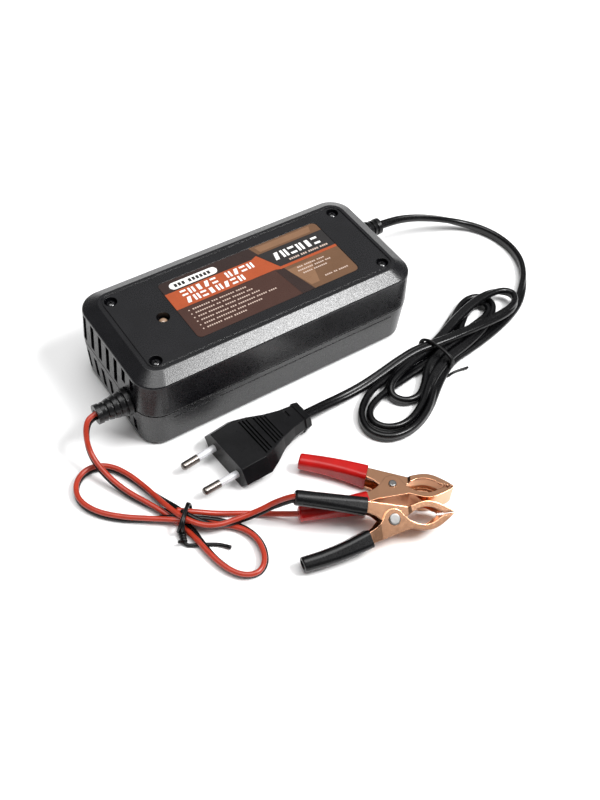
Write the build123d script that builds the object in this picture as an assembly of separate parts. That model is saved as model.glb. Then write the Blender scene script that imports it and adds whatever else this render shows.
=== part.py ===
from build123d import *

import os
from math import atan2, degrees, pi, radians, tan

# Mains battery charger with a cord, a twin output lead and two spring clips.
# Millimetres, +Z up. The housing stands on z = 0 with its long side along X, centred on
# the origin. The DC gland is on the -X end and the mains gland on the +X end.

# Housing
LENGTH = 160.0
WIDTH = 73.0
HEIGHT = 46.5
PARTING = 24.0
CORNER = 12.7
WALL = 2.2
CHAMFER_RUN = 6.9
CHAMFER_RISE = 4.0
UPPER_DRAFT = 0.9
LOWER_DRAFT = 1.6
SHOULDER = HEIGHT - CHAMFER_RISE
TOP_L = LENGTH - 2 * (UPPER_DRAFT + CHAMFER_RUN)
TOP_W = WIDTH - 2 * (UPPER_DRAFT + CHAMFER_RUN)

SLOT_W = 3.3
SLOT_PITCH = 7.9
SLOT_ROWS = [SLOT_PITCH * (3 - k) + 0.6 for k in range(7)]

SCREWS = [(-65.6, -22.2), (-65.6, 22.2), (65.6, -22.2), (65.6, 22.2)]
SCREW_HEAD_R = 2.8
SCREW_HEAD_H = 2.7
SCREW_SHANK_R = 1.45
SCREW_SEAT = 43.2

LED_X, LED_Y = -49.0, 0.4
LABEL_X, LABEL_Y = 5.8, 0.3
LABEL_L, LABEL_W = 94.0, 41.0

# Cable glands
GLAND_Z = 24.0
DC_GLAND = (-LENGTH / 2, -19.5)
AC_GLAND = (LENGTH / 2, 21.0)
GLAND_LEN = 17.0
AC_GLAND_LEN = 19.0

# Circuit board
BOARD_L, BOARD_W, BOARD_T = 128.0, 58.0, 1.6
BOARD_Z = 8.0
BOARD_TOP = BOARD_Z + BOARD_T
BOARD_POSTS = [(-46, -23), (-46, 23), (46, -23), (46, 23)]

# Cords: overall width of the flat leads
AC_D = 5.4
DC_D = 5.0
RED_D = 2.7
BLACK_D = 4.0

# Two-pin plug, face centre on the floor plane
PLUG_POS = (-52.5, -62.9)
PLUG_TURN = 4.4
PLUG_H = 13.7
PIN_R = 2.0
PIN_LEN = 19.0
SLEEVE_LEN = 10.0
SLEEVE_R = 1.8
CORE_R = 1.3
PIN_BASE = 18.6
PIN_TIP = 17.5

# Spring clips, in the clip's own frame: rivet at the origin, jaw tip along +x, rivet axis z
CLIP_W = 11.2
SHEET = 0.9
EAR_GAP = 0.15
INNER_W = CLIP_W - 2 * SHEET - 2 * EAR_GAP
RIVET_R = 1.6
EAR_R = 4.8
SPRING_R = 3.3
WIRE_R = 0.6
HEAD_R, HEAD_T = 2.7, 0.8
TAIL_R, TAIL_T = 1.9, 0.8
GRIP_START = (-11.5, 7.35)
GRIP_SLOPE = -13.6
GRIP_LEN = 32.8

RED_CLIP = Location((4.4, -118.2, CLIP_W / 2 + HEAD_T + 0.25), (0, 0, -34.5))
BLACK_CLIP = (
    Location((-7.6, -133.0, 10.8))
    * Location((0, 0, 0), (0, 0, -23.8))
    * Location((0, 0, 0), (31.0, 0, 0))
    * Location((0, 0, 0), (0, 4.0, 0))
)


def block(x0, x1, y0, y1, z0, z1):
    """Axis-aligned block between two corners."""
    return Pos((x0 + x1) / 2, (y0 + y1) / 2, (z0 + z1) / 2) * Box(x1 - x0, y1 - y0, z1 - z0)


def rod(r, x, y, z0, z1):
    """Upright cylinder from z0 to z1."""
    return Pos(x, y, (z0 + z1) / 2) * Cylinder(r, z1 - z0)


def frustum(size0, z0, size1, z1):
    """Rounded rectangle (length, width, corner) at z0 drawn straight to another at z1."""
    low = Plane.XY.offset(z0) * RectangleRounded(*size0)
    high = Plane.XY.offset(z1) * RectangleRounded(*size1)
    return loft([low.face(), high.face()], ruled=True)


def grow(size, by):
    """A rounded rectangle's size, offset outward on every side."""
    return (size[0] + 2 * by, size[1] + 2 * by, size[2] + by)


FULL = (LENGTH, WIDTH, CORNER)
SHOULDER_SIZE = grow(FULL, -UPPER_DRAFT)
TOP_SIZE = (TOP_L, TOP_W, 7.3)
FOOT_SIZE = grow(FULL, -LOWER_DRAFT)


def vents(z_low, z_high, short_low, short_high):
    """Cutters for the slots in both end walls; the slots beside a gland are shorter."""
    cut = []
    for end, gland_y in ((-1, DC_GLAND[1]), (1, AC_GLAND[1])):
        x = end * LENGTH / 2
        for row in SLOT_ROWS:
            y = -end * row
            beside = abs(y - gland_y) < 8.5
            low = short_low if beside else z_low
            high = short_high if beside else z_high
            cut.append(block(x - 6, x + 6, y - SLOT_W / 2, y + SLOT_W / 2, low, high))
    return cut


def gland_holes():
    """Cutters for the two cable holes, half in each shell."""
    return [Pos(x, y, GLAND_Z) * Rot(0, 90, 0) * Cylinder(5.1, 12) for x, y in (DC_GLAND, AC_GLAND)]


def upper_shell():
    outer = frustum(FULL, PARTING, SHOULDER_SIZE, SHOULDER)
    outer += frustum(SHOULDER_SIZE, SHOULDER, TOP_SIZE, HEIGHT)
    soft = [e for e in outer.edges() if abs(e.center().Z - SHOULDER) < 0.01]
    outer = outer.fillet(1.2, soft)
    crest = [e for e in outer.edges() if abs(e.center().Z - HEIGHT) < 0.01]
    outer = outer.fillet(0.8, crest)
    inner = frustum(grow(FULL, -WALL), PARTING, grow(SHOULDER_SIZE, -WALL), SHOULDER - 1.0)
    inner += frustum(grow(SHOULDER_SIZE, -WALL), SHOULDER - 1.0, grow(TOP_SIZE, -WALL), HEIGHT - 2.4)
    shell = outer - inner
    # thin groove and bead that frame the flat top
    groove = frustum(grow(TOP_SIZE, -1.6), HEIGHT - 0.5, grow(TOP_SIZE, -1.6), HEIGHT + 1)
    groove -= frustum(grow(TOP_SIZE, -2.5), HEIGHT - 1, grow(TOP_SIZE, -2.5), HEIGHT + 2)
    shell -= groove
    # label recess
    recess = extrude(RectangleRounded(LABEL_L + 0.6, LABEL_W + 0.6, 2.8), 0.3, both=True)
    shell -= Pos(LABEL_X, LABEL_Y, HEIGHT) * recess
    for x, y in SCREWS:
        shell += rod(5.0, x, y, PARTING + 2.5, HEIGHT - 1.0)
    for x, y in SCREWS:
        shell -= rod(3.2, x, y, SCREW_SEAT, HEIGHT + 1)
        shell -= rod(1.7, x, y, PARTING, SCREW_SEAT + 1)
    # LED well
    shell += rod(4.6, LED_X, LED_Y, HEIGHT - 8.0, HEIGHT - 1.5)
    shell -= rod(3.3, LED_X, LED_Y, HEIGHT - 5.5, HEIGHT + 1)
    shell -= rod(2.6, LED_X, LED_Y, HEIGHT - 9.0, HEIGHT - 5.0)
    for tool in vents(26.0, SHOULDER - 1.4, 33.0, SHOULDER - 1.4) + gland_holes():
        shell -= tool
    return shell


def lower_shell():
    outer = frustum(FOOT_SIZE, 0, grow(FULL, -0.1), PARTING)
    sole = [e for e in outer.edges() if abs(e.center().Z) < 0.01]
    outer = outer.fillet(3.0, sole)
    shadow = frustum(grow(FULL, 2), PARTING - 1.1, grow(FULL, 2), PARTING - 0.3)
    shadow -= frustum(grow(FULL, -1.1), PARTING - 2, grow(FULL, -1.1), PARTING + 1)
    shell = outer - shadow
    inner = frustum(grow(FOOT_SIZE, -WALL), 2.4, grow(FULL, -WALL - 0.1), PARTING)
    shell -= inner
    # tongue that locates the upper shell
    tongue = frustum(grow(FULL, -WALL - 0.05), PARTING - 4, grow(FULL, -WALL - 0.3), PARTING + 2)
    tongue -= frustum(grow(FULL, -WALL - 1.4), PARTING - 5, grow(FULL, -WALL - 1.4), PARTING + 3)
    shell += tongue
    for x, y in SCREWS:
        shell += rod(3.6, x, y, 1.5, PARTING + 2.4)
    for x, y in SCREWS:
        shell -= rod(SCREW_SHANK_R, x, y, 12.0, PARTING + 3)
    for x, y in BOARD_POSTS:
        shell += rod(3.0, x, y, 1.5, BOARD_Z)
    # second shadow line along both long sides
    for side in (-1, 1):
        y = side * WIDTH / 2
        shell -= block(-LENGTH / 2 + 15, LENGTH / 2 - 15, y - 1.1, y + 1.1, 18.9, 19.7)
    for tool in vents(5.5, 18.5, 5.5, 14.5) + gland_holes():
        shell -= tool
    return shell


def label_sticker():
    return Pos(LABEL_X, LABEL_Y, HEIGHT - 0.3) * extrude(RectangleRounded(LABEL_L, LABEL_W, 2.5), 0.2)


def housing_screws():
    """Four self-tapping screws driven from above, with domed heads."""
    group = []
    for x, y in SCREWS:
        head = rod(SCREW_HEAD_R, x, y, SCREW_SEAT, SCREW_SEAT + SCREW_HEAD_H)
        rim = [e for e in head.edges() if abs(e.center().Z - SCREW_SEAT - SCREW_HEAD_H) < 0.01]
        head = head.fillet(SCREW_HEAD_H - 0.5, rim)
        cross = block(x - 1.1, x + 1.1, y - 0.25, y + 0.25, SCREW_SEAT + 1.4, SCREW_SEAT + 4)
        cross += block(x - 0.25, x + 0.25, y - 1.1, y + 1.1, SCREW_SEAT + 1.4, SCREW_SEAT + 4)
        screw = head - cross + rod(SCREW_SHANK_R, x, y, 14.0, SCREW_SEAT)
        group.append(screw)
    return Compound(group)


def status_led():
    """5 mm LED whose dome shows in the well, with a stem down to the board."""
    lens = rod(2.5, LED_X, LED_Y, HEIGHT - 9.5, HEIGHT - 1.8)
    top = [e for e in lens.edges() if abs(e.center().Z - HEIGHT + 1.8) < 0.01]
    lens = lens.fillet(2.3, top)
    return lens + rod(2.9, LED_X, LED_Y, HEIGHT - 10.5, HEIGHT - 9.5)


def led_standoff():
    """Plastic spacer that lifts the LED from the board."""
    return rod(2.9, LED_X, LED_Y, BOARD_TOP, HEIGHT - 10.5) - rod(0.8, LED_X, LED_Y, BOARD_TOP - 1, HEIGHT)


def gland(length, big, small, ribs, bore):
    """Strain relief along +x from the wall's outer face at x = 0, with an inner flange."""
    profile = [(-6.6, 0), (-6.6, 6.0), (-4.4, 6.0), (-4.4, 5.0)]
    profile += [(0.4, 5.0), (0.4, big), (2.6, big)]
    step = (length - 2.6 - 2.4) / ribs
    for k in range(ribs):
        x = 2.6 + k * step
        r0 = big - 0.6 - (big - small) * k / ribs
        r1 = big - 0.6 - (big - small) * (k + 1) / ribs
        profile += [(x, r0 - 1.0), (x + 0.32 * step, r0 - 1.0), (x + 0.32 * step, r0), (x + step, r1)]
    profile += [(length - 2.4, small - 0.5), (length - 2.4, small), (length, small), (length, 0)]
    points = []
    for x, r in profile:
        if not points or (x, r) != points[-1]:
            points.append((x, r))
    face = make_face(Polyline(*points, close=True))
    body = revolve(face, Axis.X, 360)
    return body - Pos(length, 0, 0) * Rot(0, 90, 0) * Cylinder(bore / 2, 16)


def dc_gland():
    return Pos(DC_GLAND[0], DC_GLAND[1], GLAND_Z) * Rot(0, 0, 180) * gland(GLAND_LEN, 7.0, 4.9, 4, DC_D)


def ac_gland():
    return Pos(AC_GLAND[0], AC_GLAND[1], GLAND_Z) * gland(AC_GLAND_LEN, 6.6, 4.6, 4, AC_D)


def circuit_board():
    board = Pos(0, 0, BOARD_Z + BOARD_T / 2) * Box(BOARD_L, BOARD_W, BOARD_T)
    corners = [e for e in board.edges() if abs(e.tangent_at(0.5).Z) > 0.9]
    board = board.fillet(1.5, corners)
    for x, y in SCREWS:
        board -= rod(4.2, x, y, BOARD_Z - 1, BOARD_TOP + 1)
    for x, y in BOARD_POSTS:
        board -= rod(1.3, x, y, BOARD_Z - 1, BOARD_TOP + 1)
    return board


def transformer():
    """Ferrite core with its two flanges."""
    z = BOARD_TOP
    core = block(-14, 14, -13, -7, z + 3, z + 23) + block(-14, 14, 7, 13, z + 3, z + 23)
    core += block(-14, 14, -7, 7, z + 3, z + 7) + block(-14, 14, -7, 7, z + 19, z + 23)
    return Pos(2, 4, 0) * core


def transformer_coil():
    """Taped winding on its bobbin, between the core's limbs."""
    z = BOARD_TOP
    coil = block(-11, 11, -6.7, 6.7, z + 7.2, z + 18.8)
    feet = block(-13, -11, -6.7, 6.7, z, z + 18.8) + block(11, 13, -6.7, 6.7, z, z + 18.8)
    feet -= block(-14, 14, -7.0, 7.0, z + 2.8, z + 7.2)
    return Pos(2, 4, 0) * coil


def can(x, y, r, height):
    """Radial electrolytic capacitor."""
    body = rod(r, x, y, BOARD_TOP, BOARD_TOP + height)
    rims = [e for e in body.edges() if e.geom_type == GeomType.CIRCLE]
    return body.fillet(0.6, rims)


def output_capacitors():
    return Compound([can(-32, 12, 4.0, 16), can(-32, 1, 4.0, 16)])


def heat_sink(x, y, length, height, fins):
    """Finned aluminium plate standing on the board."""
    z = BOARD_TOP
    sink = block(x - length / 2, x + length / 2, y - 1, y + 1, z, z + height)
    for k in range(fins):
        fx = x - length / 2 + (k + 0.5) * length / fins
        side = -1 if y < 0 else 1
        sink += block(fx - 0.6, fx + 0.6, min(y, y + side * 5), max(y, y + side * 5), z + 2, z + height)
    return sink


def power_switches():
    """Two transistors bolted flat against the heat sinks."""
    z = BOARD_TOP
    first = block(18, 28, -25.4, -21.0, z + 6, z + 21)
    second = block(-26, -16, 21.0, 25.4, z + 6, z + 21)
    return Compound([first, second])


def common_mode_choke():
    ring = Pos(33, -6, BOARD_TOP + 7) * Rot(0, 90, 0) * (Cylinder(7, 7) - Cylinder(3.2, 9))
    return ring


def suppression_capacitor():
    box = block(42, 56, 1, 7, BOARD_TOP, BOARD_TOP + 12)
    uprights = [e for e in box.edges() if abs(e.tangent_at(0.5).Z) > 0.9]
    return box.fillet(0.8, uprights)


def fuse():
    body = Pos(49, -12, BOARD_TOP + 3.4) * Rot(90, 0, 0) * Cylinder(2.6, 16)
    clips = block(46.2, 51.8, -19, -16.5, BOARD_TOP, BOARD_TOP + 2.4)
    clips += block(46.2, 51.8, -7.5, -5, BOARD_TOP, BOARD_TOP + 2.4)
    return body + clips


def control_chips():
    z = BOARD_TOP
    first = block(-52, -42, -13, -7, z, z + 2.2)
    second = block(-44, -38, 9, 14, z, z + 1.8)
    return Compound([first, second])


def terminal_block(x, y):
    """Two-way wire connector on the board."""
    z = BOARD_TOP
    body = block(x - 4, x + 4, y - 5, y + 5, z, z + 9)
    for dy in (-2.5, 2.5):
        body -= rod(1.6, x, y + dy, z + 5, z + 10)
    return body


# --- cords -------------------------------------------------------------------

def bend_radii(points):
    """Largest arc that the two runs at each corner allow."""
    radii = []
    for a, b, c in zip(points, points[1:], points[2:]):
        first = Vector(*b) - Vector(*a)
        second = Vector(*c) - Vector(*b)
        turn = radians(first.get_angle(second))
        radii.append(0.45 * min(first.length, second.length) / tan(turn / 2))
    return radii


def cord(name, points, diameter):
    """Round tube along straight runs joined by tangent arcs."""
    radii = bend_radii(points)
    path = FilletPolyline(*points, radius=radii)
    start = Plane(origin=path @ 0, z_dir=path % 0)
    tube = sweep(start * Circle(diameter / 2), path=path)
    section = pi * diameter**2 / 4
    print(name, "length %.1f" % path.length, "volume ratio %.4f" % (tube.volume / (section * path.length)))
    print("   radii in diameters", [round(r / diameter, 1) for r in radii])
    return tube


AC_ROUTE = [
    (99.0, 21.0, 24.0), (108.0, 21.2, 23.2), (120.5, 22.0, 19.6), (134.0, 22.4, 14.0),
    (147.5, 20.6, 8.4), (158.8, 15.4, 4.7), (167.2, 7.2, 3.0), (172.0, -3.8, 2.7),
    (173.0, -16.0, 2.7), (169.9, -27.6, 2.7), (163.0, -37.8, 2.7), (153.8, -45.8, 2.7), (144.6, -50.6, 2.7),
]
PLUG_ROUTE = [
    (51.0, -56.0, 3.6), (38.0, -57.2, 2.7), (22.0, -57.0, 2.8), (8.0, -57.6, 4.4), (-4.9, -59.2, 6.6),
]
DC_ROUTE = [
    (-97.0, -19.5, 24.0), (-99.7, -19.8, 23.6), (-102.3, -21.0, 22.0), (-104.3, -23.2, 18.8),
    (-105.6, -26.4, 14.4), (-106.0, -31.0, 10.2), (-105.2, -37.0, 6.8), (-103.0, -44.6, 4.2),
    (-99.6, -52.8, 2.8), (-95.2, -61.2, 2.6), (-90.6, -68.8, 2.6),
]
RED_ROUTE = [
    (-72.0, -86.4, 2.4), (-65.0, -89.2, 1.5), (-56.6, -93.6, 1.4), (-48.0, -99.9, 3.1), (-39.9, -106.0, 6.65),
]
BLACK_ROUTE = [
    (-71.6, -84.0, 5.0), (-64.4, -87.2, 6.2), (-57.4, -91.0, 9.4), (-51.6, -95.6, 13.8), (-46.8, -100.6, 18.2),
    (-42.6, -105.15, 21.15),
]


def smooth_face(points):
    """Face inside a closed run of points, with the largest arc that each corner allows."""
    radii = bend_radii([points[-1], *points, points[0]])
    return make_face(FilletPolyline(*points, radius=radii, close=True))


def ac_hank():
    """Three turns of the mains cord, folded into two lobes."""
    outline = [
        (147, -47), (143, -56), (124, -62), (102, -66.5), (88, -68.5), (78, -72), (66, -82), (52, -93),
        (35, -97), (20, -93), (14, -81), (18, -69), (31, -60.5), (48, -56.8), (66, -54.5), (84, -51),
        (98, -45), (112, -37), (124, -33), (134, -38), (144, -40),
    ]
    left = [(31, -75), (34, -83), (44, -85), (58, -79), (66, -72), (58, -67), (42, -68)]
    right = [(101, -54), (114, -48), (128, -45.5), (138, -46), (137, -52), (122, -56)]
    flat = smooth_face(outline) - smooth_face(left) - smooth_face(right)
    return extrude(flat, 9.0)


def strap(depth, height, thick, band):
    """Closed band round a bundle that runs along x; the band stands on z = 0."""
    outer = Pos(0, 0, height / 2) * Box(band, depth, height)
    return outer - Pos(0, 0, height / 2) * Box(band * 2, depth - 2 * thick, height - 2 * thick)


AC_TIE_AT = Pos(83, -60.2, 0) * Rot(0, 0, 14)
DC_TIE_AT = Pos(-84.4, -78.6, 0) * Rot(0, 0, -44)


AC_TIE_TAIL = [
    (84.6, -69.0, 1.0), (78.6, -70.6, 1.0), (75.4, -72.8, 1.0), (77.2, -75.0, 1.0), (83.0, -75.8, 1.0),
    (89.4, -76.6, 1.4),
]


DC_TIE_TAIL = [
    (-89.2, -83.4, 1.3), (-91.4, -87.6, 1.2), (-87.0, -91.8, 1.2), (-79.6, -97.0, 1.2), (-73.6, -101.8, 1.4),
]


def ac_tie():
    band = AC_TIE_AT * strap(19.5, 11.0, 1.1, 3.6)
    tail = cord("ac tie tail", AC_TIE_TAIL, 1.5)
    return band + tail


def dc_hank():
    """Two loops of the twin lead that meet under the tie."""
    left = [
        (-88.0, -73.0), (-98.0, -70.4), (-109.0, -63.4), (-118.0, -54.4), (-121.8, -44.6), (-118.8, -35.6),
        (-112.0, -30.6), (-104.0, -31.0), (-97.4, -37.4), (-93.0, -47.0), (-89.8, -58.4),
    ]
    right = [
        (-85.0, -84.0), (-84.8, -96.0), (-83.4, -108.6), (-79.2, -117.6), (-72.4, -121.2), (-65.6, -118.8),
        (-61.8, -112.2), (-61.2, -104.2), (-64.4, -96.0), (-70.6, -89.0), (-78.0, -83.6),
    ]
    flat = None
    for loop in (left, right):
        face = smooth_face(loop)
        ring = offset(face, DC_D / 2) - offset(face, -DC_D / 2)
        flat = ring if flat is None else flat + ring
    waist = Pos(-83.2, -79.8) * Rot(0, 0, -44) * Rectangle(22, 11)
    flat += waist
    return extrude(flat, DC_D)


def dc_tie():
    band = DC_TIE_AT * strap(15.0, 7.6, 1.0, 3.2)
    return band + cord("dc tie tail", DC_TIE_TAIL, 1.9)


# --- plug --------------------------------------------------------------------

PLUG_AT = Pos(PLUG_POS[0], PLUG_POS[1], 0) * Rot(0, 0, PLUG_TURN)


# Finger grooves across the top: place along the plug and half length.
PLUG_GROOVES = [(15.2, 11.5), (17.0, 11.0), (18.8, 10.4), (22.4, 9.4), (24.2, 8.8), (26.0, 8.2), (27.8, 7.6)]


def plug_section(x, half_w, half_top, z0, z1):
    """Hexagonal section across the plug at x."""
    mid = (z0 + z1) / 2
    corners = [(-half_w, mid), (-half_top, z1), (half_top, z1), (half_w, mid), (half_top, z0), (-half_top, z0)]
    at = Plane(origin=(x, 0, 0), x_dir=(0, 1, 0), z_dir=(1, 0, 0))
    return (at * make_face(Polyline(*corners, close=True))).face()


def plug_body():
    """Moulded body: full width at the face, drawn in to the collar where the cord enters."""
    stations = [
        (0.0, 17.6, 12.6, 0.0, 13.7), (14.0, 18.3, 13.2, 0.0, 13.7), (20.0, 15.4, 11.4, 0.3, 13.5),
        (28.0, 10.8, 8.4, 0.9, 12.9), (36.0, 8.2, 6.4, 1.5, 12.3), (43.5, 7.2, 5.4, 2.0, 11.8),
    ]
    faces = [plug_section(*s) for s in stations]
    body = loft(faces, ruled=True)
    collar = [plug_section(43.5, 7.8, 6.0, 1.4, 12.4), plug_section(46.9, 7.4, 5.4, 1.8, 12.0)]
    body += loft(collar, ruled=True)
    for x, half in PLUG_GROOVES:
        body -= block(x, x + 0.7, -half, half, 12.2 if x < 20 else 11.9, 15)
    body -= block(37.4, 39.0, 0.6, 4.4, 11.2, 15)
    body -= Pos(46.9, 0, PLUG_H / 2 - 0.1) * Rot(0, 90, 0) * Cylinder(AC_D / 2, 4)
    for side in (-1, 1):
        body -= pin_frame(side) * Pos(0, 0, -6) * Cylinder(SLEEVE_R, 14)
    return PLUG_AT * body


def pin_frame(side):
    """Local frame whose +z runs out along one pin from the plug's face."""
    lean = degrees(atan2((PIN_BASE - PIN_TIP) / 2, PIN_LEN))
    return Pos(0, side * PIN_BASE / 2, PLUG_H / 2) * Rot(0, -90, 0) * Rot(side * lean, 0, 0)


def plug_pins():
    pins = []
    for side in (-1, 1):
        tip = Pos(0, 0, (SLEEVE_LEN + PIN_LEN) / 2) * Cylinder(PIN_R, PIN_LEN - SLEEVE_LEN)
        end = [e for e in tip.edges() if abs(e.center().Z - PIN_LEN) < 0.01]
        tip = tip.fillet(1.2, end)
        core = Pos(0, 0, (SLEEVE_LEN - 6) / 2) * Cylinder(CORE_R, SLEEVE_LEN + 6)
        pins.append(PLUG_AT * pin_frame(side) * (tip + core))
    return Compound(pins)


def pin_sleeves():
    sleeves = []
    for side in (-1, 1):
        tube = Pos(0, 0, (SLEEVE_LEN - 6) / 2) * (Cylinder(SLEEVE_R, SLEEVE_LEN + 6) - Cylinder(CORE_R, 40))
        sleeves.append(PLUG_AT * pin_frame(side) * tube)
    return Compound(sleeves)


# --- spring clips ------------------------------------------------------------

SPINE = [(7.8, 4.85), (11.6, 5.95), (15.9, 6.55), (19.6, 5.9), (23.2, 4.2), (26.6, 2.1), (28.7, 0.5)]
MOUTH = [(21.6, 1.7), (18.4, 3.45), (14.4, 3.95), (10.4, 2.9), (7.0, 0.9)]
TOOTH_TIP, TOOTH_DEPTH, TOOTH_PITCH, TEETH = 0.15, 0.8, 1.2, 4


def side_profile(inset):
    """Side view of the upper half as a face; inset lowers the spine to leave the web's thickness."""
    handle = [(-41.0, 17.0 - inset), (7.8 + 0.1 * inset, 4.85 - 1.03 * inset)]
    jaw = []
    for k, (x, y) in enumerate(SPINE):
        lean = 0.0 if k < 3 else 0.55
        jaw.append((x - lean * inset, y - (1.03 if k < 3 else 0.9) * inset))
    with BuildLine() as line:
        Line(handle[0], jaw[0])
        Spline(*jaw)
        end = jaw[-1]
        if inset == 0:
            teeth = [(end[0], TOOTH_TIP)]
            for k in range(TEETH):
                tip_x = end[0] - 1.1 - k * TOOTH_PITCH
                teeth += [(tip_x, TOOTH_TIP), (tip_x - TOOTH_PITCH / 2, TOOTH_TIP + TOOTH_DEPTH)]
            Polyline(end, *teeth, MOUTH[0])
            Spline(*MOUTH)
            Polyline(MOUTH[-1], (4.4, -1.9))
            ThreePointArc((4.4, -1.9), (0.0, -EAR_R), (-4.2, -2.3))
            Polyline((-4.2, -2.3), (-5.5, 0.0), (-8.2, 2.6), (-12.6, 4.8), (-41.0, 13.3), handle[0])
        else:
            Polyline(end, (30.0, -8.0), (-43.0, -8.0), (-43.0, 17.5 - inset), handle[0])
    return make_face(line.line)


def plan_prism(widths, pad):
    """Plan shape across the rivet axis, drawn through the full depth; pad thins both sides."""
    top = [(x, w / 2 - pad) for x, w in widths]
    bottom = [(x, -w / 2 + pad) for x, w in reversed(widths)]
    face = Plane.XZ * make_face(Polyline(*top, *bottom, close=True))
    return extrude(face, 30, both=True)


OUTER_PLAN = [(-45.0, 4.6), (-11.0, 9.2), (-6.5, CLIP_W), (40.0, CLIP_W)]
INNER_PLAN = [(-45.0, 4.6), (-11.0, INNER_W), (7.4, INNER_W), (8.6, CLIP_W), (40.0, CLIP_W)]


def clip_half(widths, bore):
    """Pressed-sheet half: a channel with a solid web along the spine and two side walls."""
    blank = extrude(side_profile(0), CLIP_W, both=True) & plan_prism(widths, 0)
    hollow = extrude(side_profile(SHEET), CLIP_W, both=True) & plan_prism(widths, SHEET)
    return blank - hollow - Cylinder(bore, 40)


def clip_rivet(big_up):
    """Rivet with a wide head on one side and a small formed tail on the other."""
    head = CLIP_W / 2 + 0.1
    up = (HEAD_R, HEAD_T) if big_up else (TAIL_R, TAIL_T)
    down = (TAIL_R, TAIL_T) if big_up else (HEAD_R, HEAD_T)
    shape = Cylinder(RIVET_R, 2 * head)
    top = Pos(0, 0, head + up[1] / 2) * Cylinder(up[0], up[1])
    shape += top.fillet(0.6, [e for e in top.edges() if abs(e.center().Z - head - up[1]) < 0.01])
    low = Pos(0, 0, -head - down[1] / 2) * Cylinder(down[0], down[1])
    shape += low.fillet(0.5, [e for e in low.edges() if abs(e.center().Z + head + down[1]) < 0.01])
    return shape


def spring_turns(side, z, height):
    """Turns of the torsion spring round the rivet, with a leg into the handle on that side."""
    turns = Pos(0, 0, side * z) * (Cylinder(SPRING_R, height) - Cylinder(SPRING_R - 2 * WIRE_R, 2 * height))
    leg = Pos(-9.6, side * 4.9, side * 1.9) * Rot(0, 0, -side * 21) * Rot(0, 90, 0) * Cylinder(WIRE_R, 15.0)
    return turns + leg


def clip_spring(side):
    """The part of the spring that stays with the fixed half."""
    return spring_turns(side, 0.8, 3.6)


def clip_spring_arm(side):
    """Last turn and leg, which move with the other half."""
    return spring_turns(side, 1.9, 2 * WIRE_R)


def grip_face(x, bow, depth, width, corner):
    """Rounded section of a grip at x, shifted outward by bow."""
    at = Plane(origin=(x, bow, 0), x_dir=(0, 1, 0), z_dir=(1, 0, 0))
    return (at * RectangleRounded(depth, width, corner)).face()


# Sections from the front to the back: distance, outward bow, depth, width, corner.
GRIP_OUTSIDE = [
    (0.0, 0.0, 8.2, 11.0, 2.2), (-4.5, 0.35, 8.0, 10.5, 2.3), (-10.5, 0.75, 7.7, 9.7, 2.5),
    (-17.0, 0.9, 7.5, 8.9, 2.7), (-24.0, 0.7, 7.3, 8.2, 2.9), (-GRIP_LEN, 0.0, 7.15, 7.4, 3.0),
]
GRIP_INSIDE = [
    (1.0, -0.45, 6.1, 9.5, 0.6), (-14.9, 0.18, 4.8, 7.5, 0.6), (-GRIP_LEN + 1.8, 0.66, 4.1, 5.5, 0.6),
]


def clip_grip(free):
    """Soft sleeve over the upper handle, bowed and open at the back where it holds no wire."""
    along = Pos(GRIP_START[0], GRIP_START[1], 0) * Rot(0, 0, GRIP_SLOPE)
    bend, softer = (1.0, 0.0) if free else (0.1, 0.5)
    faces = [grip_face(x, bow * bend, *size, corner + softer) for x, bow, *size, corner in GRIP_OUTSIDE]
    sleeve = loft(faces, ruled=True)
    back = [e for e in sleeve.edges() if abs(e.center().X + GRIP_LEN) < 0.01]
    sleeve = sleeve.fillet(0.9 if free else 1.2, back)
    sleeve -= loft([grip_face(*section) for section in GRIP_INSIDE], ruled=True)
    if free:
        sleeve -= Pos(-GRIP_LEN, 0, 0) * Rot(0, 90, 0) * Cylinder(2.3, 2 * 1.1)
    return along * sleeve


def mirror_half(shape):
    return mirror(shape, Plane.XZ)


def add_clip(parts, name, at, fixed_upper, big_up):
    """All pieces of one clip. The half with the inner ears is the upper one."""
    upper = clip_half(INNER_PLAN, RIVET_R + (0.0 if fixed_upper else 0.06))
    lower = mirror_half(clip_half(OUTER_PLAN, RIVET_R + (0.06 if fixed_upper else 0.0)))
    parts[name + "_upper_jaw"] = at * upper
    parts[name + "_lower_jaw"] = at * lower
    parts[name + "_rivet"] = at * clip_rivet(big_up)
    parts[name + "_spring"] = at * clip_spring(1 if fixed_upper else -1)
    parts[name + "_spring_arm"] = at * clip_spring_arm(-1 if fixed_upper else 1)
    parts[name + "_upper_grip"] = at * clip_grip(free=not fixed_upper)
    parts[name + "_lower_grip"] = at * mirror_half(clip_grip(free=fixed_upper))


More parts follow.
